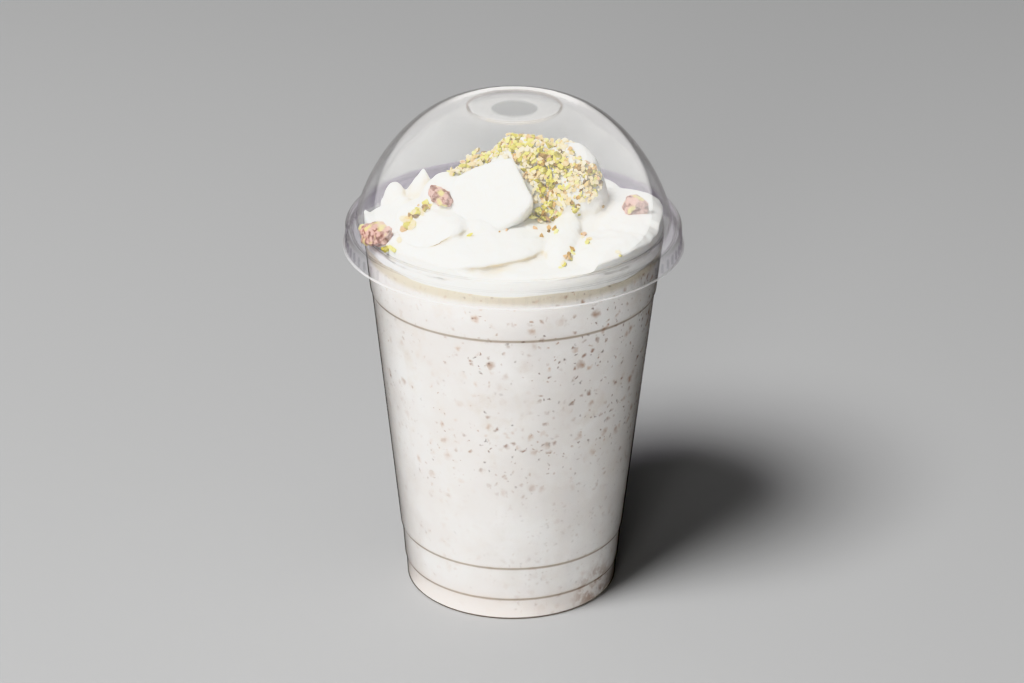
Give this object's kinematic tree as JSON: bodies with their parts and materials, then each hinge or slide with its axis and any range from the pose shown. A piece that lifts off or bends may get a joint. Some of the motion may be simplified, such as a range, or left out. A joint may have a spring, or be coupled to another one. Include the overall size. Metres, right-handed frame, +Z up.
{
  "type": "milkshake",
  "caption": "Milkshake in a clear plastic cup with a domed lid, topped with whipped cream, chopped pistachios and a blocky lump of thick cream.",
  "frame": {"origin": "middle of the cup's foot ring, on the surface that it stands on", "axes": "+Z up through the straw hole, -Y towards the side that the picture shows, +X to the right of that view"},
  "size_m": [0.103, 0.103, 0.1561],
  "materials": {
    "cup_plastic": "thin clear plastic, glossy on both sides",
    "lid_plastic": "thin clear plastic, glossy, with a faint grey-violet tint at its thick rim",
    "shake": null,
    "cream_and_nuts": null,
    "thick_cream": null
  },
  "bodies": {
    "root": {"cup": "cup_plastic", "lid": "lid_plastic", "milkshake": "shake", "whipped_cream": "cream_and_nuts", "cream_lump": "thick_cream"}
  },
  "joints": []
}
